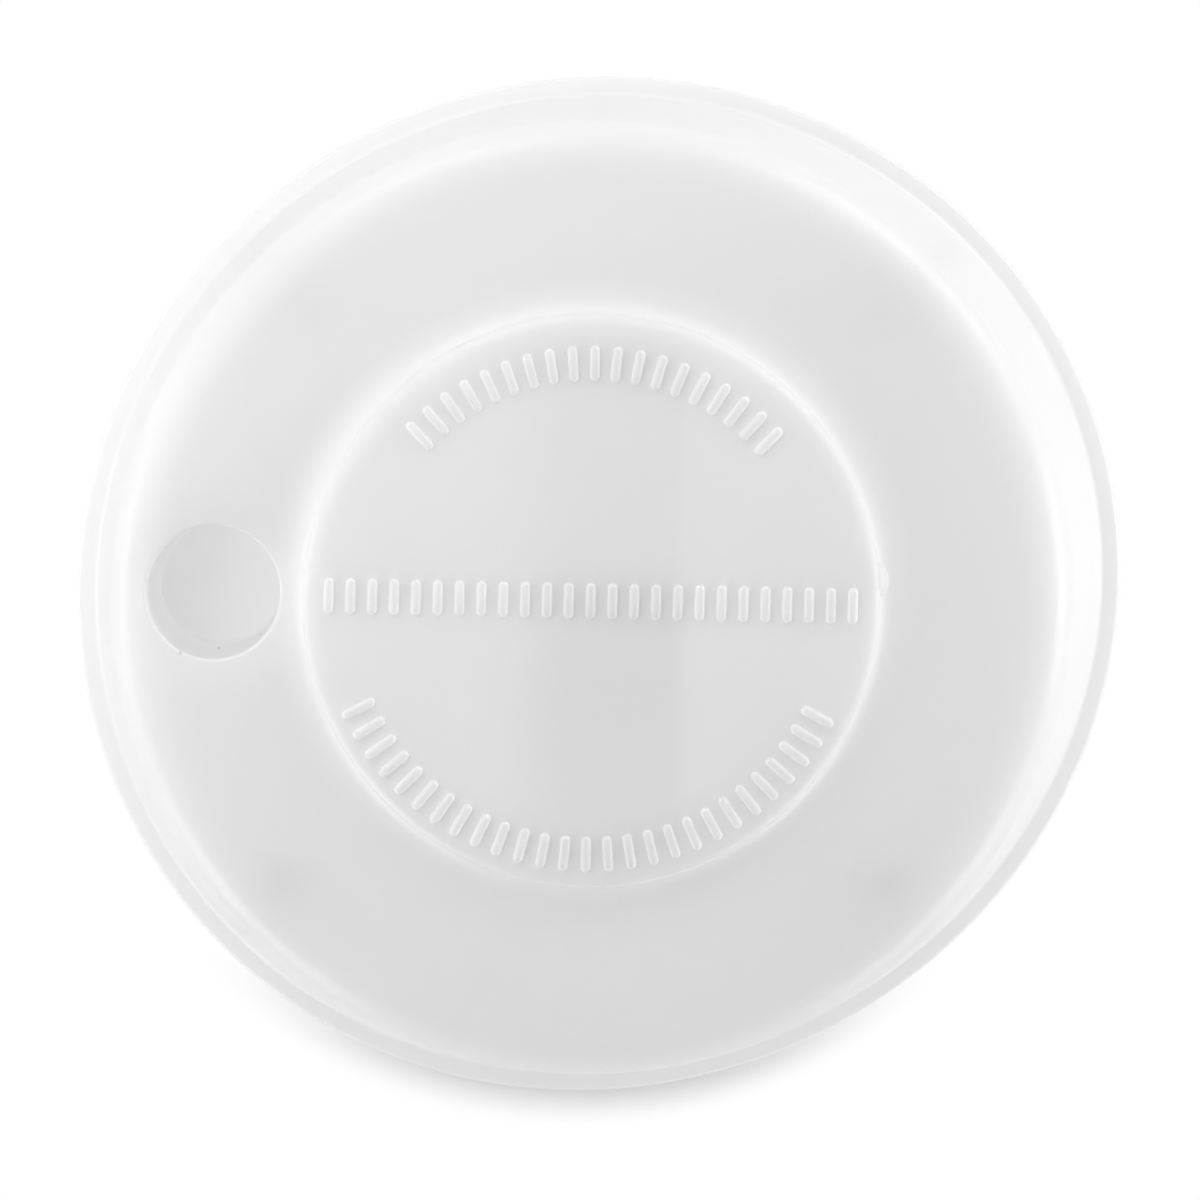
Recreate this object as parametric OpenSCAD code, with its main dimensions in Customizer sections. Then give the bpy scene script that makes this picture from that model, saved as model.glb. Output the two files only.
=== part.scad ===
// Push-on cap for a plumbing vent: one thin moulded shell with a raised disc, a finger well,
// a flared skirt on a flat rim, and four ribs inside that stop it on its base.
// Millimetres. The origin is the centre of the rim's underside, and +Z points up through the crown.

/* [Rim] */
// Diameter over the rim
rim_d = 146; // [136:1:170]
// Width of the rim outside the skirt
rim_width = 2.8; // [1.5:0.1:5]
// Thickness of the rim
rim_thick = 1.6; // [1.2:0.1:3]
// Rounding of the rim's upper edge
rim_edge_r = 0.5; // [0.2:0.1:0.8]
// Fillet where the skirt stands on the rim
rim_fillet_r = 0.8; // [0.4:0.1:1.2]

/* [Skirt and crown] */
// Height of the flat crown above the rim's underside
crown_h = 34.6; // [28:0.1:48]
// Lean of the skirt from upright, in degrees
skirt_lean = 6; // [3:0.5:9]
// Rounding of the shoulder between skirt and crown
shoulder_r = 5.8; // [4:0.1:8]
// Thickness of the wall all over
wall = 1.8; // [1.2:0.1:2.4]

/* [Raised disc] */
// Diameter of the disc at the rounded upper edge
disc_d = 80.5; // [70:0.1:84]
// Height of the disc above the crown
disc_rise = 3.5; // [3.4:0.1:5]
// Rounding of the disc's upper edge
disc_edge_r = 1; // [0.6:0.1:1.4]
// Fillet round the foot of the disc
disc_foot_r = 4; // [2.6:0.1:4]
// Lean of the disc's side from upright, in degrees
disc_lean = 20; // [16:1:30]

/* [Finger well] */
// Diameter of the well at its mouth
well_d = 18.7; // [15:0.1:19.4]
// Taper of the well's wall, in degrees
well_taper = 0.9; // [0.5:0.1:2]
// Rounding of the well's lip
well_lip_r = 0.5; // [0.2:0.1:0.8]
// Fillet round the floor of the well
well_floor_r = 0.5; // [0.4:0.1:1.2]
// Height of the well's underside above the end of the mouth's seat
well_rise = 0.7; // [0.5:0.1:6]

/* [Mouth and ribs] */
// Height of the straight seat inside the mouth
seat_h = 4; // [3:0.5:6]
// Chamfer that leads into the seat
seat_lead = 0.5; // [0.3:0.1:0.8]
// Number of ribs round the inside
rib_count = 4; // [3:1:6]
// Direction of the first rib, in degrees from +X
rib_turn = 45; // [0:5:90]
// Thickness of a rib
rib_thick = 2.2; // [1.4:0.1:3]
// How far a rib reaches in from the seat, under the crown
rib_head = 15.4; // [12:0.1:18]
// How far a rib reaches in from the seat, at its foot
rib_foot = 8.4; // [6:0.1:12]
// Height of the ribs' feet above the end of the seat
rib_rise = 1.5; // [1:0.1:4]

/* [Hidden] */
$fn = 180;
shell_colour = [0.93, 0.93, 0.92];
// Straight pieces in each rounding of a section
arc_steps = 10;
// How far a cutter runs past the face that it opens
cut_past = 1;

rim_r = rim_d / 2;
// Radius of the skirt's outside where it meets the rim
foot_r = rim_r - rim_width;
// Radius of the seat that goes over the ring of the vent's base
seat_r = foot_r - wall;
lean_tan = tan(skirt_lean);
// Centre of the shoulder's rounding
shoulder_z = crown_h - shoulder_r;
shoulder_x = foot_r - (shoulder_z - rim_thick) * lean_tan - shoulder_r / cos(skirt_lean);
disc_h = crown_h + disc_rise;
// Steepest slope of the disc's side, from the flat
disc_slope = 90 - disc_lean;
// Centres of the roundings at the disc's edge and foot, on a section through the axis
disc_edge_x = disc_d / 2 - disc_edge_r * sin(disc_slope);
disc_side_drop = disc_rise - (disc_edge_r + disc_foot_r) * (1 - cos(disc_slope));
disc_foot_x = disc_d / 2 + disc_side_drop / tan(disc_slope) + disc_foot_r * sin(disc_slope);
// The well stands in the middle of the flat ring between the disc's foot and the shoulder
well_x = (disc_foot_x + shoulder_x) / 2;
well_r = well_d / 2;
well_bottom_z = seat_h + well_rise;
well_floor_z = well_bottom_z + wall;
// Radius of a tapered well wall at height z, stood off outwards by the given amount
function well_wall_r(z, off) = well_r + off / cos(well_taper) - (crown_h - z) * tan(well_taper);
rib_foot_z = seat_h + rib_rise;
// Radius of the skirt at height z, stood off inwards by the given amount
function skirt_r(z, off) = foot_r - (z - rim_thick) * lean_tan - off / cos(skirt_lean);

// Points along an arc in a section, from angle a0 to angle a1
function arc(x, z, r, a0, a1) =
    [for (i = [0:arc_steps]) let (a = a0 + (a1 - a0) * i / arc_steps) [x + r * cos(a), z + r * sin(a)]];

// Outline of the crown and shoulder, from the skirt's head in to the axis, at a depth below the surface
function crown_line(depth) = concat(
    arc(shoulder_x, shoulder_z, shoulder_r - depth, skirt_lean, 90),
    arc(disc_foot_x, crown_h + disc_foot_r, disc_foot_r + depth, 270, 270 - disc_slope),
    disc_edge_line(depth),
    [[0, disc_h - depth]]
);

// The disc's edge is rounded outside; inside, the wall is thicker than the rounding and the corner is sharp
function disc_edge_line(depth) = depth < disc_edge_r
    ? arc(disc_edge_x, disc_h - disc_edge_r, disc_edge_r - depth, disc_lean, 90)
    : [[disc_edge_x + (disc_edge_r - depth) * tan(45 - disc_lean / 2), disc_h - depth]];

module cap_outside() {
    fillet_turn = 90 - skirt_lean;
    fillet_z = rim_thick + rim_fillet_r;
    fillet_x = skirt_r(fillet_z, 0) + rim_fillet_r / cos(skirt_lean);
    polygon(concat(
        [[0, 0], [rim_r, 0]],
        arc(rim_r - rim_edge_r, rim_thick - rim_edge_r, rim_edge_r, 0, 90),
        arc(fillet_x, fillet_z, rim_fillet_r, 270, 270 - fillet_turn),
        crown_line(0)
    ));
}

module cap_hollow() {
    polygon(concat(
        [[0, -cut_past], [seat_r + seat_lead, -cut_past], [seat_r + seat_lead, 0], [seat_r, seat_lead]],
        [[seat_r, seat_h], [skirt_r(seat_h, wall), seat_h]],
        crown_line(wall)
    ));
}

module shell() {
    rotate_extrude() difference() {
        cap_outside();
        cap_hollow();
    }
}

module well_body() {
    round_r = well_floor_r + wall;
    floor_z = well_bottom_z;
    side_r = well_wall_r(floor_z + round_r, wall) - round_r / cos(well_taper);
    rotate_extrude() polygon(concat(
        [[0, floor_z]],
        arc(side_r, floor_z + round_r, round_r, -90, -well_taper),
        [[well_wall_r(crown_h - wall / 2, wall), crown_h - wall / 2], [0, crown_h - wall / 2]]
    ));
}

module well_hollow() {
    side_r = well_wall_r(well_floor_z + well_floor_r, 0) - well_floor_r / cos(well_taper);
    rotate_extrude() polygon(concat(
        [[0, well_floor_z]],
        arc(side_r, well_floor_z + well_floor_r, well_floor_r, -90, -well_taper),
        arc(well_r + well_lip_r, crown_h - well_lip_r, well_lip_r, 180 - well_taper, 90),
        [[well_r + well_lip_r, disc_h + cut_past], [0, disc_h + cut_past]]
    ));
}

// A rib stands upright on one radius, with its outer edge buried in the middle of the wall
module rib() {
    rotate([90, 0, 0]) linear_extrude(rib_thick, center = true) polygon(concat(
        [[seat_r - rib_head, crown_h - wall / 2], [seat_r - rib_foot, rib_foot_z]],
        [[skirt_r(rib_foot_z, wall / 2), rib_foot_z]],
        arc(shoulder_x, shoulder_z, shoulder_r - wall / 2, skirt_lean, 90)
    ));
}

module vent_cap() {
    color(shell_colour) difference() {
        union() {
            shell();
            translate([-well_x, 0, 0]) well_body();
            for (i = [0:rib_count - 1]) rotate(rib_turn + i * 360 / rib_count) rib();
        }
        translate([-well_x, 0, 0]) well_hollow();
    }
}

vent_cap();
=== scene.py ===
import math

import bmesh
import bpy
from mathutils import Matrix, Vector


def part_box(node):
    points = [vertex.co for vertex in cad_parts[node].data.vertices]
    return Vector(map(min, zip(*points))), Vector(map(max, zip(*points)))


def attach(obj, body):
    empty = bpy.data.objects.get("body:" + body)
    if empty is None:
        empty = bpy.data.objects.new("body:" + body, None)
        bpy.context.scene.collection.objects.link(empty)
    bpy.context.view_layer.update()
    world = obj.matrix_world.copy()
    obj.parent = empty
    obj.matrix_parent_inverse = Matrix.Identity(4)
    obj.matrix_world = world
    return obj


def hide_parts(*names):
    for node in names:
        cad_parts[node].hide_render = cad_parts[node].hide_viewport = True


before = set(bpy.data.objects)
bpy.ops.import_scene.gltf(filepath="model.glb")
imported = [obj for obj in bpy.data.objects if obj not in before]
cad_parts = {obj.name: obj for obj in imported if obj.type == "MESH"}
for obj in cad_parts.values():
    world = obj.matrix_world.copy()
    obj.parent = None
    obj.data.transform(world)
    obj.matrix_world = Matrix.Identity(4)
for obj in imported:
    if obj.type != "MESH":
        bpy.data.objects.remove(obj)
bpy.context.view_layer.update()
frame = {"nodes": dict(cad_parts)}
scene = bpy.context.scene
scene.view_settings.view_transform = "Standard"
print("frame loaded:", ", ".join(frame["nodes"]))

mm = 0.001  # sizes below are millimetres, and the scene is in metres


def toLinear(hexColour):
    parts = [int(hexColour[i:i + 2], 16) / 255 for i in (1, 3, 5)]
    return [c / 12.92 if c <= 0.04045 else ((c + 0.055) / 1.055) ** 2.4 for c in parts] + [1]


def addNode(tree, kind, settings=None, inputs=None):
    # an input is a plain value, or another node's output to link
    node = tree.nodes.new(kind)
    for name, value in (settings or {}).items():
        setattr(node, name, value)
    for name, value in (inputs or {}).items():
        if isinstance(value, bpy.types.NodeSocket):
            tree.links.new(value, node.inputs[name])
        else:
            node.inputs[name].default_value = value
    return node


# the photograph's viewpoint
shot = {
    "distance": 2117,    # camera to the middle of the rim
    "leanRight": 1.51,   # degrees off the cap's axis
    "leanUp": 2.86,
    "roll": 1.06,        # the finger well sits a little above the picture's middle line
    "aim": (0.3, -1.79),
    "focalPixels": 14894,
    "frameWidth": 1200,
    "sensor": 36,
    "nearClip": 100, "farClip": 20000,
}


def makeCamera():
    turn = Matrix.Rotation(math.radians(shot["roll"]), 3, "Z")
    sideways, upwards = (math.sin(math.radians(shot[k])) for k in ("leanRight", "leanUp"))
    place = turn @ Vector((sideways, upwards, math.sqrt(1 - sideways ** 2 - upwards ** 2)))
    place *= shot["distance"] * mm
    aim = turn @ Vector((*shot["aim"], 0)) * mm
    forward = (aim - place).normalized()
    right = forward.cross(turn @ Vector((0, 1, 0))).normalized()
    camera = bpy.data.objects.new("camera", bpy.data.cameras.new("camera"))
    camera.data.sensor_width = shot["sensor"]
    camera.data.lens = shot["focalPixels"] / shot["frameWidth"] * shot["sensor"]
    camera.data.clip_start = shot["nearClip"] * mm
    camera.data.clip_end = shot["farClip"] * mm
    camera.matrix_world = Matrix.Translation(place) @ Matrix(
        (right, right.cross(forward), -forward)).transposed().to_4x4()
    scene.collection.objects.link(camera)
    scene.camera = camera


makeCamera()
print("camera ready")


def newMaterial(name):
    material = bpy.data.materials.new(name)
    material.use_nodes = True
    material.node_tree.nodes.clear()
    return material, material.node_tree


plastic = {
    "colour": "#F7F7F7",
    "milkColour": "#FAFAFA",
    "milk": 0.6,             # share of the light that each skin of the wall lets through
    # painted shade: the well floor's share runs lower on its left, darker where its wall shades it
    "floorMilk": (0.64, 0.84), "floorShadeAcross": (-60, -45),   # the same, across the finger well's floor
    "wallMilk": 0.96, "wellWall": (7, 10),                  # and in its wall, above these heights
    "wellAxis": (-52.8, 0, 0), "wellReach": (11.6, 10.2), "wellTop": (34.3, 33),
    "roughness": (0.37, 0.45),
    "ior": 1.51,
    "gloss": 1,              # the skin's share of the wall is small, so its gloss is doubled
    "grain": 0.35,           # mm, the fine texture of the mould
    "grainDepth": 0.004,
    "flow": 26,              # mm, soft clouds where the melt cooled unevenly
    "octaves": 2,
    "cloud": (0.3, 0.7),     # the noise values between which roughness runs
    # painted shade: a faint darker band down the disc's middle, soft on its left and sharper on its right,
    # painted into the light that comes through the wall
    "shadeBandColour": "#F1F1F1", "bandLeft": (-15, -1), "bandRight": (14.5, 11),
    "bandBelow": (8, -4), "bandBottom": (-32, -12), "bandEnd": (39.5, 35), "bandFaint": 0.5,
    # specks of dirt in and beside the well, drawn out in height so that they show on its steep wall
    "speckColour": "#E2DFDB", "speckSize": (0.32, 0.14), "speckRun": 0.1,
    "specks": ((-53, -8.9, 15), (-46.9, -6.6, 18.4), (-57.4, -8.6, 34.6)),
    # painted shade: soft darker marks at two of the ribs' ends, over the sink marks there, darkening the
    # light that comes through the wall
    "sinkShadeColour": "#F4F4F4", "markSize": (4.4, 0), "marks": ((-42.6, -40.4, 34), (42.4, -38.8, 34)),
}


def mask(tree, edges):
    # soft edges multiplied: each rises from its start at the first of two places, in mm, to 1 at the second
    share = 1
    for value, (near, far), start in edges:
        rise = addNode(tree, "ShaderNodeMapRange", {"interpolation_type": "SMOOTHSTEP"}, {
            "Value": value, "From Min": near * mm, "From Max": far * mm, "To Min": start})
        share = addNode(tree, "ShaderNodeMath", {"operation": "MULTIPLY"}, {
            0: share, 1: rise.outputs["Result"]}).outputs[0]
    return share


def distance(tree, place, centre, along):
    # from a centre, with each axis counted by its share
    moved = addNode(tree, "ShaderNodeVectorMath", {"operation": "SUBTRACT"}, {
        0: place, 1: Vector(centre) * mm}).outputs[0]
    shares = addNode(tree, "ShaderNodeVectorMath", {"operation": "MULTIPLY"}, {
        0: moved, 1: along}).outputs[0]
    return addNode(tree, "ShaderNodeVectorMath", {"operation": "LENGTH"}, {0: shares}).outputs["Value"]


def discShadeBand(tree, place):
    # painted shade: where the disc's darker band lies
    part = addNode(tree, "ShaderNodeSeparateXYZ", inputs={0: place}).outputs
    away = distance(tree, place, (0, 0, 0), (1, 1, 0))
    return mask(tree, (
        (part["X"], plastic["bandLeft"], 0),
        (part["X"], plastic["bandRight"], 0),
        (part["Y"], plastic["bandBelow"], plastic["bandFaint"]),
        (part["Y"], plastic["bandBottom"], plastic["bandFaint"]),
        (away, plastic["bandEnd"], 0)))


def milkShare(tree, place):
    # the finger well lets more light through than the crown, and its wall more than its floor; across the
    # floor less comes through towards the left, a painted shade where its wall shades it
    part = addNode(tree, "ShaderNodeSeparateXYZ", inputs={0: place}).outputs
    away = distance(tree, place, plastic["wellAxis"], (1, 1, 0))
    inWell = mask(tree, ((away, plastic["wellReach"], 0), (part["Z"], plastic["wellTop"], 0)))
    left, right = plastic["floorMilk"]
    floor = addNode(tree, "ShaderNodeMapRange", inputs={
        "Value": mask(tree, ((part["X"], plastic["floorShadeAcross"], 0),)),
        "To Min": left, "To Max": right}).outputs["Result"]
    ofWell = addNode(tree, "ShaderNodeMapRange", inputs={
        "Value": mask(tree, ((part["Z"], plastic["wellWall"], 0),)),
        "To Min": floor, "To Max": plastic["wallMilk"]}).outputs["Result"]
    return addNode(tree, "ShaderNodeMapRange", inputs={
        "Value": inWell, "To Min": plastic["milk"], "To Max": ofWell}).outputs["Result"]


def spots(tree, place, centres, size, run):
    # 1 at the middle of each spot, with the height counted by its share
    share = 0
    for centre in centres:
        spot = mask(tree, ((distance(tree, place, centre, (1, 1, run)), size, 0),))
        share = addNode(tree, "ShaderNodeMath", {"operation": "MAXIMUM"}, {0: share, 1: spot}).outputs[0]
    return share


def layered(tree, base, layers):
    # a colour with others laid over it, each by its own share
    colour = toLinear(base)
    for share, over in layers:
        colour = addNode(tree, "ShaderNodeMix", {"data_type": "RGBA"}, {
            0: share, 6: colour, 7: toLinear(over)}).outputs[2]
    return colour


def mouldedPolyethylene():
    # low-density polyethylene, injection moulded: a satin skin over a milky wall that lets light through
    material, tree = newMaterial("mouldedPolyethylene")
    place = addNode(tree, "ShaderNodeTexCoord").outputs["Object"]
    grain = addNode(tree, "ShaderNodeTexNoise", inputs={
        "Vector": place, "Scale": 1 / (plastic["grain"] * mm), "Detail": plastic["octaves"]})
    flow = addNode(tree, "ShaderNodeTexNoise", inputs={
        "Vector": place, "Scale": 1 / (plastic["flow"] * mm), "Detail": plastic["octaves"]})
    satin = addNode(tree, "ShaderNodeMapRange", inputs={
        "Value": flow.outputs["Fac"], "From Min": plastic["cloud"][0], "From Max": plastic["cloud"][1],
        "To Min": plastic["roughness"][0], "To Max": plastic["roughness"][1]})
    bump = addNode(tree, "ShaderNodeBump", inputs={
        "Height": grain.outputs["Fac"], "Strength": 1, "Distance": plastic["grainDepth"] * mm})
    speck = spots(tree, place, plastic["specks"], plastic["speckSize"], plastic["speckRun"])
    mark = spots(tree, place, plastic["marks"], plastic["markSize"], 1)
    # the light through the wall, with the painted shade band down the disc, the painted shade at two rib
    # ends and the specks of dirt laid over it
    through = layered(tree, plastic["milkColour"], (
        (discShadeBand(tree, place), plastic["shadeBandColour"]),
        (mark, plastic["sinkShadeColour"]),
        (speck, plastic["speckColour"])))
    skinColour = layered(tree, plastic["colour"], ((speck, plastic["speckColour"]),))
    skin = addNode(tree, "ShaderNodeBsdfPrincipled", inputs={
        "Base Color": skinColour, "Roughness": satin.outputs["Result"],
        "IOR": plastic["ior"], "Specular IOR Level": plastic["gloss"], "Normal": bump.outputs["Normal"]})
    milk = addNode(tree, "ShaderNodeBsdfTranslucent", inputs={
        "Color": through, "Normal": bump.outputs["Normal"]})
    wall = addNode(tree, "ShaderNodeMixShader", inputs={
        "Fac": milkShare(tree, place), 1: skin.outputs["BSDF"], 2: milk.outputs["BSDF"]})
    addNode(tree, "ShaderNodeOutputMaterial", inputs={"Surface": wall.outputs["Shader"]})
    return material


whitePlastic = mouldedPolyethylene()
print("materials ready")


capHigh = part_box("vent_cap")[1]
cap = {
    # the rim, skirt, wall and seat are as in the part's source
    "rimRadius": capHigh.x / mm, "discTop": capHigh.z / mm,
    "rimWidth": 2.8, "rimThick": 1.6, "rimEdge": 0.5, "rimFillet": 0.8,
    "skirtLean": 6, "wall": 1.8,
    # the shoulder and the disc's side are softer here, closer to the photograph
    "shoulder": ((5, 65), (9, 90)),    # radius of each bend and the angle it ends in, upwards
    "discRadius": 40.1, "discRise": 3.5, "discSlope": 80,
    # radius of each bend and the slope it ends in: from the disc's side up, and from the crown up to it
    "discEdge": ((0.3, 40), (3.1, 15), (5.8, 0)),
    "discFoot": ((13.4, 12), (5.1, 25), (4.1, 40), (0.3, 80)),
    "seatHeight": 4, "seatLead": 0.5,
    "stepsRound": 360,
    "rowGap": 1.2,       # longest straight step of the section in the crown
    "skirtGap": 2.4,     # and in the skirt and inside
    "arcError": 0.004,   # how far a straight step may stand off its rounding
    "arcSteps": 5,       # and the fewest steps in one
    "sameSpot": 1e-4, "mergeWithin": 0.001,
    "sharpAngle": 30,    # edges that turn more than this, in degrees, stay sharp
}
crown = cap["discTop"] - cap["discRise"]
lean = math.radians(cap["skirtLean"])
footRadius = cap["rimRadius"] - cap["rimWidth"]
seatRadius = footRadius - cap["wall"]
discTop = cap["discTop"]
slope = math.radians(cap["discSlope"])


def edgeBends():
    # radius, first and last slope of each bend at the disc's edge, from its side up, and their height
    starts = [cap["discSlope"]] + [end for radius, end in cap["discEdge"]]
    bends = [(radius, start, end) for (radius, end), start in zip(cap["discEdge"], starts)]
    return bends, sum(r * (math.cos(math.radians(e)) - math.cos(math.radians(s))) for r, s, e in bends)


def footBends():
    # centre, radius, first and last slope of each bend at the disc's foot, from the disc's side outwards
    bends, x, z = [], 0, 0
    ends = [0] + [end for radius, end in cap["discFoot"]]
    for (radius, end), start in reversed(list(zip(cap["discFoot"], ends))):
        s, e = math.radians(start), math.radians(end)
        bends.append((x + radius * math.sin(e), z + radius * math.cos(e), radius, start, end))
        x, z = bends[-1][0] - radius * math.sin(s), bends[-1][1] - radius * math.cos(s)
    drop = cap["discRise"] + z - edgeBends()[1]
    sideX, sideZ = cap["discRadius"] + drop / math.tan(slope), crown - z
    return [(sideX + x, sideZ + z, radius, start, end) for x, z, radius, start, end in reversed(bends)]


def skirtRadius(z, inset):
    return footRadius - (z - cap["rimThick"]) * math.tan(lean) - inset / math.cos(lean)


def arc(x, z, radius, start, end):
    step = 2 * math.degrees(math.acos(1 - cap["arcError"] / radius))
    steps = max(cap["arcSteps"], round(abs(end - start) / step))
    angles = [math.radians(start + (end - start) * i / steps) for i in range(steps + 1)]
    return [(x + radius * math.cos(a), z + radius * math.sin(a)) for a in angles]


def shoulderLine(depth):
    # up from the skirt to the crown, at a depth below the surface
    (low, turn), (high, top) = cap["shoulder"]
    apart, angle = high - low, math.radians(turn)
    z = crown - high + apart * math.sin(angle)
    x = skirtRadius(z, low)
    points = arc(x, z, low - depth, cap["skirtLean"], turn)
    return points + arc(x - apart * math.cos(angle), crown - high, high - depth, turn, top)


def edgeLine(depth):
    # over the disc's edge, in several bends outside and as one sharp corner underneath
    bends, height = edgeBends()
    if depth > 0:
        rise = height - depth * (1 - math.cos(slope))
        return [(cap["discRadius"] - depth * math.sin(slope) - rise / math.tan(slope), discTop - depth)]
    x, z, points = cap["discRadius"], discTop - height, []
    for radius, start, end in bends:
        s = math.radians(start)
        points += arc(x - radius * math.sin(s), z - radius * math.cos(s), radius, 90 - start, 90 - end)
        x, z = points[-1]
    return points


def crownLine(depth):
    # from the skirt's head in to the axis, at a depth below the surface
    points = shoulderLine(depth)
    for x, z, radius, start, end in footBends():
        points += arc(x, z, radius + depth, 270 - start, 270 - end)
    points += edgeLine(depth) + [(0, discTop - depth)]
    return points


def withRows(points, gap):
    # long straight runs get more points, at most one gap apart
    full = [points[0]]
    for a, b in zip(points, points[1:]):
        length = math.dist(a, b)
        if length < cap["sameSpot"]:
            continue
        steps = math.ceil(length / gap)
        full += [tuple(p + (q - p) * i / steps for p, q in zip(a, b)) for i in range(1, steps + 1)]
    return full


def capSection():
    filletTurn = 90 - cap["skirtLean"]
    filletZ = cap["rimThick"] + cap["rimFillet"]
    filletX = skirtRadius(filletZ, 0) + cap["rimFillet"] / math.cos(lean)
    rimEdge = arc(cap["rimRadius"] - cap["rimEdge"], cap["rimThick"] - cap["rimEdge"], cap["rimEdge"], 0, 90)
    fillet = arc(filletX, filletZ, cap["rimFillet"], 270, 270 - filletTurn)
    top = crownLine(0)
    skirt = withRows([fillet[-1], top[0]], cap["skirtGap"])
    inside = [(seatRadius + cap["seatLead"], 0), (seatRadius, cap["seatLead"]),
              (seatRadius, cap["seatHeight"]),
              (skirtRadius(cap["seatHeight"], cap["wall"]), cap["seatHeight"])]
    inside += crownLine(cap["wall"])
    outside = rimEdge + fillet[:-1] + skirt[:-1] + withRows(top, cap["rowGap"])
    full = outside[::-1] + [(cap["rimRadius"], 0)] + withRows(inside, cap["skirtGap"])
    return [p for i, p in enumerate(full) if i == 0 or math.dist(p, full[i - 1]) > cap["sameSpot"]]


def newTree(name, sizes):
    tree = bpy.data.node_groups.new(name, "GeometryNodeTree")
    tree.interface.new_socket("Geometry", in_out="INPUT", socket_type="NodeSocketGeometry")
    tree.interface.new_socket("Geometry", in_out="OUTPUT", socket_type="NodeSocketGeometry")
    for label, kind in sizes.items():
        tree.interface.new_socket(label, in_out="INPUT", socket_type="NodeSocket" + kind)
    return tree, addNode(tree, "NodeGroupInput").outputs


def meshFromTree(name, tree, base, values):
    # runs the tree on a base mesh and keeps the result as a plain mesh
    holder = bpy.data.objects.new(name + "Base", base)
    scene.collection.objects.link(holder)
    modifier = holder.modifiers.new(tree.name, "NODES")
    modifier.node_group = tree
    for item in tree.interface.items_tree:
        if item.in_out == "INPUT" and item.name in values:
            modifier[item.identifier] = values[item.name]
    graph = bpy.context.evaluated_depsgraph_get()
    mesh = bpy.data.meshes.new_from_object(holder.evaluated_get(graph), depsgraph=graph)
    mesh.name = name
    bpy.data.objects.remove(holder)
    return mesh


def polyline(name, paths):
    mesh = bpy.data.meshes.new(name)
    points, edges = [], []
    for path in paths:
        start = len(points)
        points += [Vector(p) * mm for p in path]
        edges += [(start + i, start + i + 1) for i in range(len(path) - 1)]
    mesh.from_pydata(points, edges, [])
    return mesh


def revolveTree():
    # turns a section, drawn as a line in the XZ plane, once about Z
    tree, given = newTree("revolvedShell", {"Steps round": "Int", "Plastic": "Material"})
    count = addNode(tree, "GeometryNodeAttributeDomainSize", inputs={"Geometry": given["Geometry"]})
    rows = addNode(tree, "ShaderNodeMath", {"operation": "ADD"}, {0: given["Steps round"], 1: 1}).outputs[0]
    grid = addNode(tree, "GeometryNodeMeshGrid", inputs={
        "Vertices X": count.outputs["Point Count"], "Vertices Y": rows})
    index = addNode(tree, "GeometryNodeInputIndex").outputs[0]
    ratio = addNode(tree, "ShaderNodeMath", {"operation": "DIVIDE"}, {0: index, 1: rows}).outputs[0]
    along = addNode(tree, "ShaderNodeMath", {"operation": "FLOOR"}, {0: ratio}).outputs[0]
    step = addNode(tree, "ShaderNodeMath", {"operation": "MODULO"}, {0: index, 1: rows}).outputs[0]
    turn = addNode(tree, "ShaderNodeMath", {"operation": "DIVIDE"}, {
        0: step, 1: given["Steps round"]}).outputs[0]
    angle = addNode(tree, "ShaderNodeMath", {"operation": "MULTIPLY"}, {0: turn, 1: math.tau}).outputs[0]
    place = addNode(tree, "GeometryNodeInputPosition").outputs[0]
    point = addNode(tree, "GeometryNodeSampleIndex", {"data_type": "FLOAT_VECTOR"}, {
        "Geometry": given["Geometry"], "Value": place, "Index": along}).outputs[0]
    turned = addNode(tree, "ShaderNodeVectorRotate", {"rotation_type": "Z_AXIS"}, {
        "Vector": point, "Angle": angle}).outputs[0]
    moved = addNode(tree, "GeometryNodeSetPosition", inputs={
        "Geometry": grid.outputs["Mesh"], "Position": turned})
    closed = addNode(tree, "GeometryNodeMergeByDistance", inputs={
        "Geometry": moved.outputs[0], "Distance": cap["mergeWithin"] * mm})
    real = addNode(tree, "GeometryNodeRealizeInstances", inputs={"Geometry": closed.outputs[0]})
    finished = addNode(tree, "GeometryNodeSetMaterial", inputs={
        "Geometry": real.outputs[0], "Material": given["Plastic"]})
    addNode(tree, "NodeGroupOutput", inputs={"Geometry": finished.outputs[0]})
    return tree


section = capSection()
shell = meshFromTree("ventCapShell", revolveTree(), polyline("section", [[(x, 0, z) for x, z in section]]),
                     {"Steps round": cap["stepsRound"], "Plastic": whitePlastic})
print("shell turned:", len(shell.polygons), "faces from", len(section), "rows")

# the finger well is stitched into the crown
well = {
    "x": 52.8, "radius": 9.35, "taper": 1.5, "lip": 0.5, "floorFillet": 0.5, "floor": 6.5,
    "rootFillet": 0.6,    # on the underside, where the well hangs from the crown
    "lipFade": 4,         # the crown's slope is lost this many lips down the wall
    "blockRings": 8,      # rings of faces between the crown's own rows and the lip
    "wallRows": 14,
    "floorRows": 6,
    "blockInner": 40.9, "blockOuter": 64.7, "blockHalfAngle": 14,
}
wellX = well["x"]
surface = {depth: crownLine(depth) for depth in (0, cap["wall"])}


def crownHeight(x, y, depth):
    # the crown's own surface near the well, between the disc's foot and the shoulder
    r = math.hypot(x, y)
    line = surface[depth]
    near, far = next((p, q) for p, q in zip(line, line[1:]) if q[0] <= r < p[0])
    return near[1] + (far[1] - near[1]) * (r - near[0]) / (far[0] - near[0])


def wellRadius(z, offset):
    taper = math.radians(well["taper"])
    return well["radius"] + offset / math.cos(taper) - (crown - z) * math.tan(taper)


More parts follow.
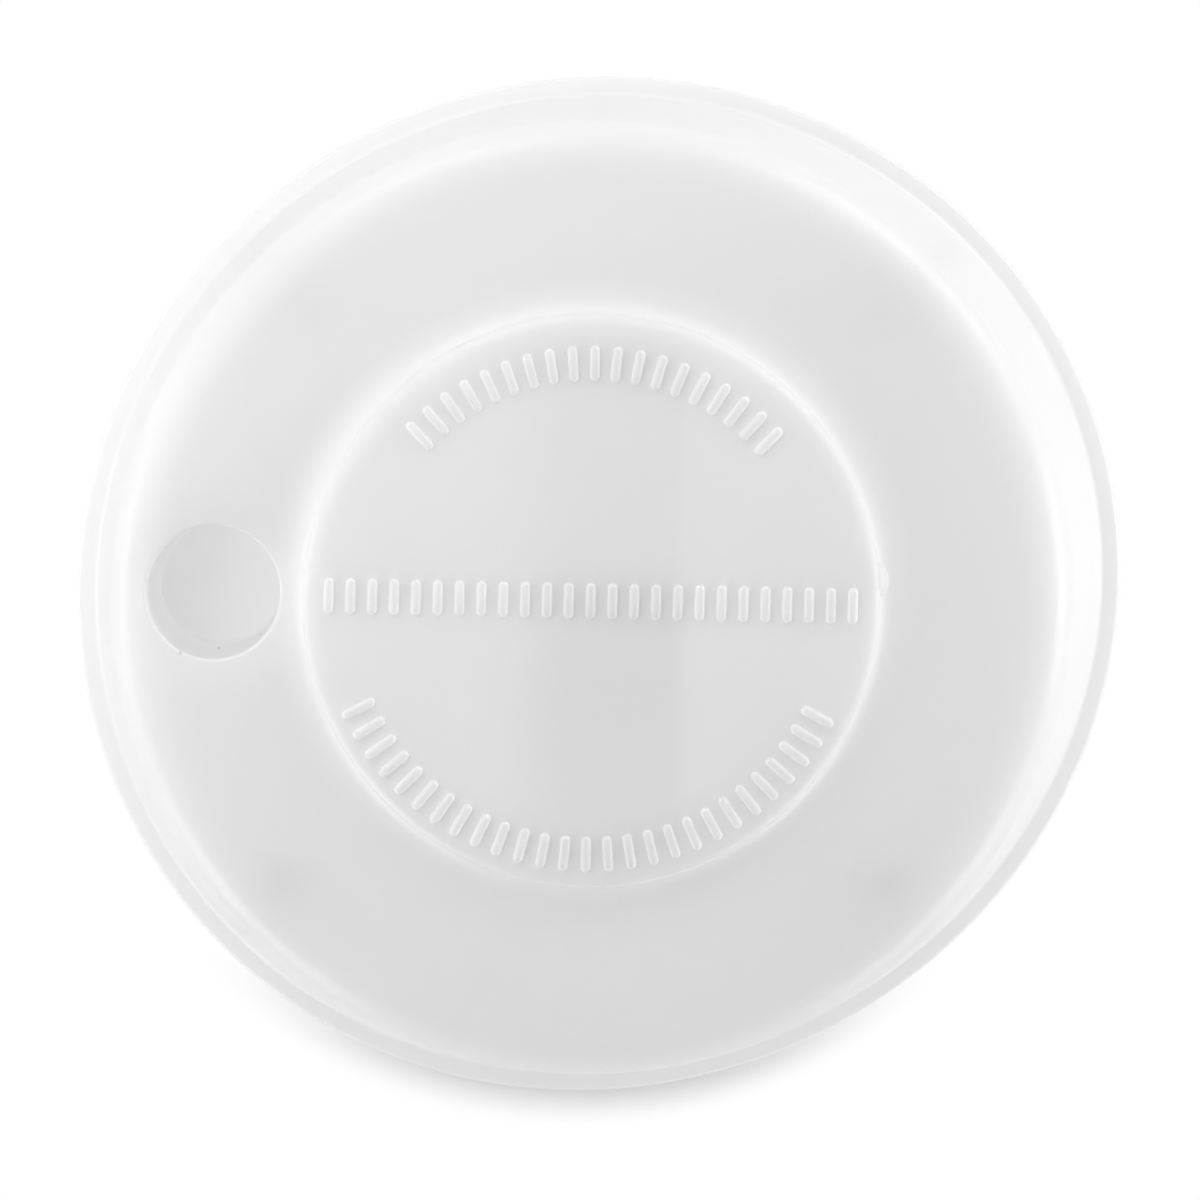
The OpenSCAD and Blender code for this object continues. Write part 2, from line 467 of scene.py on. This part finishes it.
def wellLine(depth):
    # from the mouth down to the middle of the floor, as (radius, drop below the mouth's edge)
    floorZ = well["floor"] - depth
    if depth == 0:
        start = arc(well["radius"] + well["lip"], crown - well["lip"], well["lip"], 90, 180 - well["taper"])
    else:
        fillet = well["rootFillet"]
        mouthZ = crown - depth
        rootX = wellRadius(mouthZ - fillet, depth) + fillet
        start = arc(rootX, mouthZ - fillet, fillet, 90, 180)
    bend = well["floorFillet"] + depth
    bendX = wellRadius(floorZ + bend, depth) - bend / math.cos(math.radians(well["taper"]))
    side = arc(bendX, floorZ + bend, bend, -well["taper"], -90)
    wall = withRows([start[-1], side[0]], (start[-1][1] - side[0][1]) / well["wallRows"])
    floor = withRows([side[-1], (0, floorZ)], bendX / well["floorRows"])
    return start + wall[1:-1] + side + floor[1:]


def insideBlock(face, depth):
    # the faces of the crown, outside or underneath, that make way for the well
    c = face.calc_center_median() / mm
    r = math.hypot(c.x, c.y)
    if not well["blockInner"] < r < well["blockOuter"]:
        return False
    away = abs(math.degrees(math.atan2(c.y, -c.x)))
    return away < well["blockHalfAngle"] and abs(c.z - crownHeight(c.x, c.y, depth)) < cap["wall"] / 2


def stitchWell(bm, block, depth):
    # rings of faces from the hole's edge in to the mouth, down the wall and across the floor
    bmesh.ops.delete(bm, geom=block, context="FACES")
    edge = {v for e in bm.edges if e.is_boundary for v in e.verts}
    edge = sorted(edge, key=lambda v: math.atan2(v.co.y, v.co.x + wellX * mm))
    count = len(edge)
    line = wellLine(depth)
    first = math.atan2(edge[0].co.y, edge[0].co.x + wellX * mm)
    turn = [first + math.tau * i / count for i in range(count)]
    mouth = line[0][0]
    rings = [edge]
    for step in range(1, well["blockRings"] + 1):
        share = step / well["blockRings"]
        ring = []
        for v, a in zip(edge, turn):
            outer = v.co / mm
            x = outer.x + (-wellX + mouth * math.cos(a) - outer.x) * share
            y = outer.y + (mouth * math.sin(a) - outer.y) * share
            ring.append(bm.verts.new(Vector((x, y, crownHeight(x, y, depth))) * mm))
        rings.append(ring)
    lipHeights = [v.co.z / mm - line[0][1] for v in rings[-1]]
    for radius, z in line[1:-1]:
        # the mouth follows the crown's slope, and the wall loses it on the way down
        keep = max(0, 1 - (line[0][1] - z) / (well["lipFade"] * well["lip"]))
        rings.append([bm.verts.new(Vector((-wellX + radius * math.cos(a), radius * math.sin(a),
                                           z + lift * keep)) * mm) for a, lift in zip(turn, lipHeights)])
    for near, far in zip(rings, rings[1:]):
        for i in range(count):
            bm.faces.new((near[i - 1], near[i], far[i], far[i - 1]))
    middle = bm.verts.new(Vector((-wellX, 0, line[-1][1])) * mm)
    for i in range(count):
        bm.faces.new((rings[-1][i - 1], rings[-1][i], middle))


bm = bmesh.new()
bm.from_mesh(shell)
blocks = {depth: [f for f in bm.faces if insideBlock(f, depth)] for depth in (0, cap["wall"])}
for depth, block in blocks.items():
    stitchWell(bm, block, depth)
bmesh.ops.recalc_face_normals(bm, faces=bm.faces)
print("well stitched in:", len(bm.faces), "faces, open edges:", sum(e.is_boundary for e in bm.edges))
for face in bm.faces:
    face.smooth, face.material_index = True, 0
bm.to_mesh(shell)
bm.free()
shell.materials.clear()
shell.materials.append(whitePlastic)

# ribs under the crown, the gate's nub and the raised ticks are all joined to the shell
ribs = {"count": 4, "firstAngle": 45, "thick": 2.2, "head": 15.4, "foot": 8.4, "footZ": 5.5}
# the nub's size is half its width outwards, along the edge and upwards
nub = {"angle": 5.2, "radius": 39.2, "height": 34.8, "size": (2.4, 3, 2.45), "rings": 16, "segments": 32}
ticks = {
    "pitch": 3, "length": 5, "width": 1.4, "relief": 0.8,
    # the two arcs, each with its span to either side in degrees, and the straight row
    "topRadius": 33.3, "topSpan": 47,
    "bottomRadius": 35.6, "bottomSpan": 64,
    "rowHalf": 36.5,
    "rings": 8, "segments": 16, "squareness": 0.5,
}


def prism(name, outline, thick):
    # an outline in the XZ plane, given a thickness along Y
    count = len(outline)
    points = [Vector((x, side * thick / 2, z)) * mm for side in (-1, 1) for x, z in outline]
    faces = [tuple(range(count)), tuple(range(2 * count - 1, count - 1, -1))]
    faces += [(i, count + i, count + (i + 1) % count, (i + 1) % count) for i in range(count)]
    mesh = bpy.data.meshes.new(name)
    mesh.from_pydata(points, [], faces)
    bm = bmesh.new()
    bm.from_mesh(mesh)
    bmesh.ops.recalc_face_normals(bm, faces=bm.faces)
    bm.to_mesh(mesh)
    bm.free()
    return mesh


def ribTree():
    # repeats one rib evenly round the axis
    tree, given = newTree("ribsRound", {"Ribs": "Int", "First angle": "Float", "Plastic": "Material"})
    points = addNode(tree, "GeometryNodeMeshLine", inputs={"Count": given["Ribs"], "Offset": (0, 0, 0)})
    index = addNode(tree, "GeometryNodeInputIndex").outputs[0]
    step = addNode(tree, "ShaderNodeMath", {"operation": "DIVIDE"}, {
        0: math.tau, 1: given["Ribs"]}).outputs[0]
    angle = addNode(tree, "ShaderNodeMath", {"operation": "MULTIPLY_ADD"}, {
        0: index, 1: step, 2: given["First angle"]}).outputs[0]
    turn = addNode(tree, "ShaderNodeCombineXYZ", inputs={"Z": angle}).outputs[0]
    each = addNode(tree, "GeometryNodeInstanceOnPoints", inputs={
        "Points": points.outputs[0], "Instance": given["Geometry"], "Rotation": turn})
    real = addNode(tree, "GeometryNodeRealizeInstances", inputs={"Geometry": each.outputs[0]})
    finished = addNode(tree, "GeometryNodeSetMaterial", inputs={
        "Geometry": real.outputs[0], "Material": given["Plastic"]})
    addNode(tree, "NodeGroupOutput", inputs={"Geometry": finished.outputs[0]})
    return tree


def tickTree():
    # sets plain rounded ticks along the given lines, square to them
    tree, given = newTree("raisedTicks", {"Pitch": "Float", "Length": "Float", "Width": "Float",
                                          "Relief": "Float", "Plastic": "Material"})
    curve = addNode(tree, "GeometryNodeMeshToCurve", inputs={"Mesh": given["Geometry"]})
    spaced = addNode(tree, "GeometryNodeResampleCurve", {"mode": "LENGTH"}, {
        "Curve": curve.outputs[0], "Length": given["Pitch"]})
    points = addNode(tree, "GeometryNodeCurveToPoints", {"mode": "EVALUATED"}, {"Curve": spaced.outputs[0]})
    facing = addNode(tree, "FunctionNodeAlignRotationToVector", {"axis": "X", "pivot_axis": "Z"}, {
        "Vector": points.outputs["Tangent"]})
    ball = addNode(tree, "GeometryNodeMeshUVSphere", inputs={
        "Segments": ticks["segments"], "Rings": ticks["rings"], "Radius": 1})
    # half a segment's turn keeps every side corner off the middle line, where the tick is pulled apart
    tilted = addNode(tree, "GeometryNodeTransform", inputs={
        "Geometry": ball.outputs[0], "Rotation": (0, 0, math.pi / ticks["segments"])})
    place = addNode(tree, "GeometryNodeInputPosition").outputs[0]
    part = addNode(tree, "ShaderNodeSeparateXYZ", inputs={0: place}).outputs
    half = addNode(tree, "ShaderNodeMath", {"operation": "MULTIPLY"}, {0: given["Width"], 1: 0.5}).outputs[0]
    run = addNode(tree, "ShaderNodeMath", {"operation": "SUBTRACT"}, {
        0: given["Length"], 1: given["Width"]}).outputs[0]
    halfRun = addNode(tree, "ShaderNodeMath", {"operation": "MULTIPLY"}, {0: run, 1: 0.5}).outputs[0]
    side = addNode(tree, "ShaderNodeMath", {"operation": "SIGN"}, {0: part["Y"]}).outputs[0]
    pushed = addNode(tree, "ShaderNodeMath", {"operation": "MULTIPLY"}, {0: side, 1: halfRun}).outputs[0]
    y = addNode(tree, "ShaderNodeMath", {"operation": "MULTIPLY_ADD"}, {0: part["Y"], 1: half, 2: pushed})
    x = addNode(tree, "ShaderNodeMath", {"operation": "MULTIPLY"}, {0: part["X"], 1: half})
    depth = addNode(tree, "ShaderNodeMath", {"operation": "ABSOLUTE"}, {0: part["Z"]}).outputs[0]
    square = addNode(tree, "ShaderNodeMath", {"operation": "POWER"}, {
        0: depth, 1: ticks["squareness"]}).outputs[0]
    up = addNode(tree, "ShaderNodeMath", {"operation": "SIGN"}, {0: part["Z"]}).outputs[0]
    signed = addNode(tree, "ShaderNodeMath", {"operation": "MULTIPLY"}, {0: up, 1: square}).outputs[0]
    z = addNode(tree, "ShaderNodeMath", {"operation": "MULTIPLY"}, {0: signed, 1: given["Relief"]})
    shape = addNode(tree, "ShaderNodeCombineXYZ", inputs={
        "X": x.outputs[0], "Y": y.outputs[0], "Z": z.outputs[0]})
    tick = addNode(tree, "GeometryNodeSetPosition", inputs={
        "Geometry": tilted.outputs[0], "Position": shape.outputs[0]})
    each = addNode(tree, "GeometryNodeInstanceOnPoints", inputs={
        "Points": points.outputs[0], "Instance": tick.outputs[0], "Rotation": facing.outputs[0]})
    real = addNode(tree, "GeometryNodeRealizeInstances", inputs={"Geometry": each.outputs[0]})
    finished = addNode(tree, "GeometryNodeSetMaterial", inputs={
        "Geometry": real.outputs[0], "Material": given["Plastic"]})
    addNode(tree, "NodeGroupOutput", inputs={"Geometry": finished.outputs[0]})
    return tree


def ribOutline():
    outline = [(seatRadius - ribs["head"], crown - cap["wall"] / 2),
               (seatRadius - ribs["foot"], ribs["footZ"]),
               (skirtRadius(ribs["footZ"], cap["wall"] / 2), ribs["footZ"])]
    return outline + shoulderLine(cap["wall"] / 2)


def arcPath(radius, middle, span):
    steps = round(2 * span)
    angles = [math.radians(middle - span + 2 * span * i / steps) for i in range(steps + 1)]
    return [(radius * math.cos(a), radius * math.sin(a), discTop) for a in angles]


def gateNub():
    mesh = bpy.data.meshes.new("gateNub")
    bm = bmesh.new()
    bmesh.ops.create_uvsphere(bm, u_segments=nub["segments"], v_segments=nub["rings"], radius=1)
    angle = math.radians(nub["angle"])
    where = Vector((nub["radius"] * math.cos(angle), nub["radius"] * math.sin(angle), nub["height"]))
    place = Matrix.Translation(where * mm) @ Matrix.Rotation(angle, 4, "Z")
    for v in bm.verts:
        v.co = place @ Vector([c * size * mm for c, size in zip(v.co, nub["size"])])
    bm.to_mesh(mesh)
    bm.free()
    return mesh


def joinTree():
    # one moulding: everything that stands on the shell becomes part of it
    tree, given = newTree("oneMoulding", {"Standing parts": "Object", "Plastic": "Material"})
    extra = addNode(tree, "GeometryNodeObjectInfo", inputs={"Object": given["Standing parts"]})
    union = addNode(tree, "GeometryNodeMeshBoolean", {"operation": "UNION", "solver": "MANIFOLD"})
    for part in (given["Geometry"], extra.outputs["Geometry"]):
        tree.links.new(part, union.inputs["Mesh 2"])
    real = addNode(tree, "GeometryNodeRealizeInstances", inputs={"Geometry": union.outputs[0]})
    finished = addNode(tree, "GeometryNodeSetMaterial", inputs={
        "Geometry": real.outputs[0], "Material": given["Plastic"]})
    addNode(tree, "NodeGroupOutput", inputs={"Geometry": finished.outputs[0]})
    return tree


ribMesh = meshFromTree("ribs", ribTree(), prism("rib", ribOutline(), ribs["thick"]), {
    "Ribs": ribs["count"], "First angle": math.radians(ribs["firstAngle"]), "Plastic": whitePlastic})
tickPaths = [arcPath(ticks["topRadius"], 90, ticks["topSpan"]),
             arcPath(ticks["bottomRadius"], 270, ticks["bottomSpan"]),
             [(-ticks["rowHalf"], 0, discTop), (ticks["rowHalf"], 0, discTop)]]
tickMesh = meshFromTree("ticks", tickTree(), polyline("tickLines", tickPaths), {
    "Pitch": ticks["pitch"] * mm, "Length": ticks["length"] * mm, "Width": ticks["width"] * mm,
    "Relief": ticks["relief"] * mm, "Plastic": whitePlastic})
print("ribs and ticks made:", len(ribMesh.polygons), len(tickMesh.polygons))

bm = bmesh.new()
for mesh in (ribMesh, tickMesh, gateNub()):
    bm.from_mesh(mesh)
standing = bpy.data.objects.new("standingParts", bpy.data.meshes.new("standingParts"))
bm.to_mesh(standing.data)
bm.free()
scene.collection.objects.link(standing)
capMesh = meshFromTree("ventCap", joinTree(), shell, {"Standing parts": standing, "Plastic": whitePlastic})
bpy.data.objects.remove(standing)
print("joined into one moulding:", len(capMesh.polygons), "faces")

# the soft cap has settled out of round
settled = {
    "rimOval": 0.0203, "crownOval": 0.0045, "ovalAngle": 25,   # share of the radius, and its long direction
    "growth": 1.3,                                             # how fast the oval grows towards the rim
    "rimCorners": 0.0034, "cornerAngle": 3,                    # and three faint corners
    "rimShift": 0.6, "shiftAngle": 104,
    "wellHold": (11.3, 13.5),   # within these distances of its axis the well stays with the crown
    # angle, radius and depth of each sink mark over a rib
    "sinks": ((-44.9, 56, 0.09), (-136.3, 58.7, 0.16), (42.5, 55.2, 0.07)),
    "sinkAlong": 2, "sinkAcross": 2.4,
}


def smooth(low, high, value):
    t = min(1, max(0, (value - low) / (high - low)))
    return t * t * (3 - 2 * t)


def settle(mesh):
    crownTop = crown - cap["wall"] / 2
    middle = math.radians(settled["shiftAngle"])
    for v in mesh.vertices:
        x, y, z = v.co / mm
        r, angle = math.hypot(x, y), math.atan2(y, x)
        down = max(0, 1 - z / crown)
        down *= smooth(*settled["wellHold"], math.hypot(x + wellX, y))
        oval = settled["crownOval"] + (settled["rimOval"] - settled["crownOval"]) * down ** settled["growth"]
        grow = 1 + oval * math.cos(2 * (angle - math.radians(settled["ovalAngle"])))
        grow += settled["rimCorners"] * down * math.cos(3 * (angle - math.radians(settled["cornerAngle"])))
        if z > crownTop and cap["discRadius"] < r:
            for sinkAngle, sinkRadius, sinkDepth in settled["sinks"]:
                away = angle - math.radians(sinkAngle)
                along = (r * math.cos(away) - sinkRadius) / settled["sinkAlong"]
                across = r * math.sin(away) / settled["sinkAcross"]
                z -= sinkDepth * math.exp(-(along ** 2 + across ** 2) / 2)
        x = x * grow + settled["rimShift"] * down * math.cos(middle)
        y = y * grow + settled["rimShift"] * down * math.sin(middle)
        v.co = Vector((x, y, z)) * mm
    mesh.update()


settle(capMesh)
for p in capMesh.polygons:
    p.use_smooth = True
capMesh.set_sharp_from_angle(angle=math.radians(cap["sharpAngle"]))
capObject = bpy.data.objects.new("ventCap", capMesh)
scene.collection.objects.link(capObject)
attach(capObject, "root")
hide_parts("vent_cap")
print("cap settled")

studio = {
    "floorColour": "#F4F4F4", "floorHalf": 2000, "floorDrop": 0.02,
    # the open floor is plain white to the camera; the lit paper shows in a crescent in front of the cap
    "shadowCentre": (-3.2, -2.1, 0), "shadowReach": (75.2, 68.4), "shadowFront": (-50, -70),
    "shadowLift": 0.05,           # white added to the paper for the camera
    "whiteThrough": 0.9,          # the floor in reflections and in the light through the milky wall
    "ambient": 0.1, "reflected": 0.8,   # the white room's strength, and its strength in reflections
    "lamps": {                  # direction round the cap, height in degrees, distance, size, watts
        "keySoftbox": (112, 32, 500, 250, 0.66),
        "backLeftSoftbox": (148, 30, 400, 400, 0.2),
        "backRightSoftbox": (65, 32, 500, 250, 0.35),
        "highSoftbox": (158, 54, 300, 200, 0.22),
        "rightStrip": (0, 10, 700, 400, 2.3),
        "backRightStrip": (45, 10, 700, 400, 2),
        "leftStrip": (180, 10, 700, 400, 1.6),
        "frontLeftStrip": (225, 10, 700, 400, 2.15),
        "frontRightStrip": (315, 10, 700, 400, 2.2),
    },
}


def whiteFloorPaper():
    # matt white paper: plain white where it is open and through the plastic, and lit where the shadow falls
    material, tree = newMaterial("whiteFloorPaper")
    material.cycles.emission_sampling = "NONE"   # its white is met, never sampled as a lamp
    ray = addNode(tree, "ShaderNodeLightPath").outputs
    paper = addNode(tree, "ShaderNodeBsdfDiffuse", inputs={"Color": toLinear(studio["floorColour"])})
    place = addNode(tree, "ShaderNodeTexCoord").outputs["Object"]
    front = addNode(tree, "ShaderNodeSeparateXYZ", inputs={0: place}).outputs["Y"]
    away = distance(tree, place, studio["shadowCentre"], (1, 1, 0))
    crescent = mask(tree, ((away, studio["shadowReach"], 0), (front, studio["shadowFront"], 0)))
    openFloor = addNode(tree, "ShaderNodeMath", {"operation": "SUBTRACT"}, {0: 1, 1: crescent}).outputs[0]
    lifted = addNode(tree, "ShaderNodeMath", {"operation": "MULTIPLY"}, {
        0: ray["Is Camera Ray"], 1: studio["shadowLift"]}).outputs[0]
    lift = addNode(tree, "ShaderNodeEmission", inputs={"Strength": lifted})
    lit = addNode(tree, "ShaderNodeAddShader", inputs={0: paper.outputs[0], 1: lift.outputs[0]})
    clear = addNode(tree, "ShaderNodeMath", {"operation": "MAXIMUM"}, {
        0: ray["Is Glossy Ray"], 1: ray["Is Transmission Ray"]}).outputs[0]
    seenOpen = addNode(tree, "ShaderNodeMath", {"operation": "MULTIPLY"}, {
        0: ray["Is Camera Ray"], 1: openFloor}).outputs[0]
    plainShare = addNode(tree, "ShaderNodeMath", {"operation": "MAXIMUM"}, {
        0: clear, 1: seenOpen}).outputs[0]
    white = addNode(tree, "ShaderNodeMapRange", inputs={
        "Value": ray["Is Camera Ray"], "To Min": studio["whiteThrough"], "To Max": 1}).outputs["Result"]
    plain = addNode(tree, "ShaderNodeEmission", inputs={"Strength": white})
    surface = addNode(tree, "ShaderNodeMixShader", inputs={
        "Fac": plainShare, 1: lit.outputs[0], 2: plain.outputs[0]})
    addNode(tree, "ShaderNodeOutputMaterial", inputs={"Surface": surface.outputs[0]})
    return material


def makeFloor():
    half, low = studio["floorHalf"], -studio["floorDrop"]
    corners = ((-half, -half), (half, -half), (half, half), (-half, half))
    mesh = bpy.data.meshes.new("floor")
    mesh.from_pydata([Vector((x, y, low)) * mm for x, y in corners], [], [(0, 1, 2, 3)])
    mesh.materials.append(whiteFloorPaper())
    floor = bpy.data.objects.new("floor", mesh)
    scene.collection.objects.link(floor)


def makeLamps():
    for name, (direction, height, distance, size, watts) in studio["lamps"].items():
        a, e = math.radians(direction), math.radians(height)
        away = Vector((math.cos(a) * math.cos(e), math.sin(a) * math.cos(e), math.sin(e)))
        data = bpy.data.lights.new(name, "AREA")
        data.shape, data.size, data.energy = "DISK", size * mm, watts
        lamp = bpy.data.objects.new(name, data)
        lamp.location = away * distance * mm
        lamp.rotation_euler = (-away).to_track_quat("-Z", "Y").to_euler()
        lamp.visible_camera = False
        scene.collection.objects.link(lamp)


def makeWorld():
    # white to the camera, a little less in reflections, and a faint even light otherwise
    world = bpy.data.worlds.new("studioRoom")
    world.use_nodes = True
    world.cycles.sampling_method = "NONE"
    scene.world = world
    tree = world.node_tree
    tree.nodes.clear()
    ray = addNode(tree, "ShaderNodeLightPath").outputs
    mirrored = addNode(tree, "ShaderNodeMapRange", inputs={
        "Value": ray["Is Glossy Ray"],
        "To Min": studio["ambient"], "To Max": studio["reflected"]}).outputs["Result"]
    strength = addNode(tree, "ShaderNodeMath", {"operation": "MAXIMUM"}, {
        0: ray["Is Camera Ray"], 1: mirrored}).outputs[0]
    room = addNode(tree, "ShaderNodeBackground", inputs={"Color": (1, 1, 1, 1), "Strength": strength})
    addNode(tree, "ShaderNodeOutputWorld", inputs={"Surface": room.outputs[0]})


makeFloor()
makeLamps()
makeWorld()
print("studio ready")
